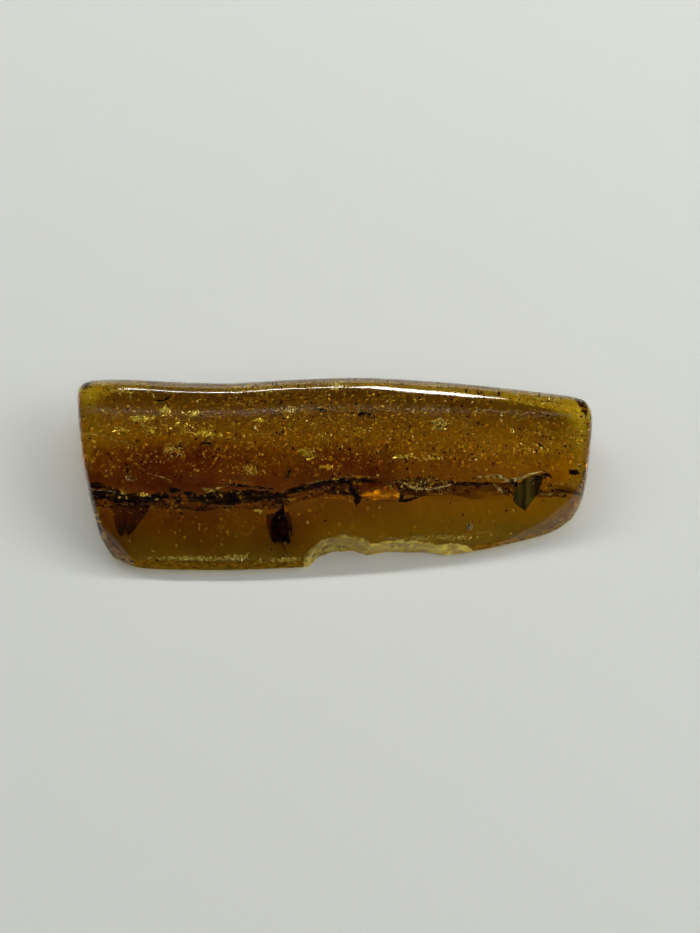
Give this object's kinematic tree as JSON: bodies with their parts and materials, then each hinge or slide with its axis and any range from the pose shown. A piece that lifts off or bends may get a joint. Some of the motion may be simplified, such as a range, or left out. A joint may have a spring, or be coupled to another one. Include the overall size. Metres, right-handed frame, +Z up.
{
  "type": "insect in amber",
  "caption": "Long, polished free-form bar of see-through amber with fossil insects sealed in it, level on top, sloping to the front, flat underneath and chipped along that edge.",
  "frame": {"origin": "under the middle of the bar's bounding box, on the surface it rests on", "axes": "+X along the bar to its narrower end, -Y towards the chipped long edge, +Z up"},
  "size_m": [0.0714, 0.0276, 0.0104],
  "materials": {
    "amber": "glossy hand polish",
    "insect_cuticle": "dark fossil cuticle sealed in the amber",
    "plant_matter": "fibrous, dark, sealed in the amber",
    "air_film": "bubbles and air-filled cracks in the amber",
    "resin_dust": "fine pale grains sealed in the amber"
  },
  "bodies": {
    "root": {"amber": "amber"}
  },
  "joints": []
}
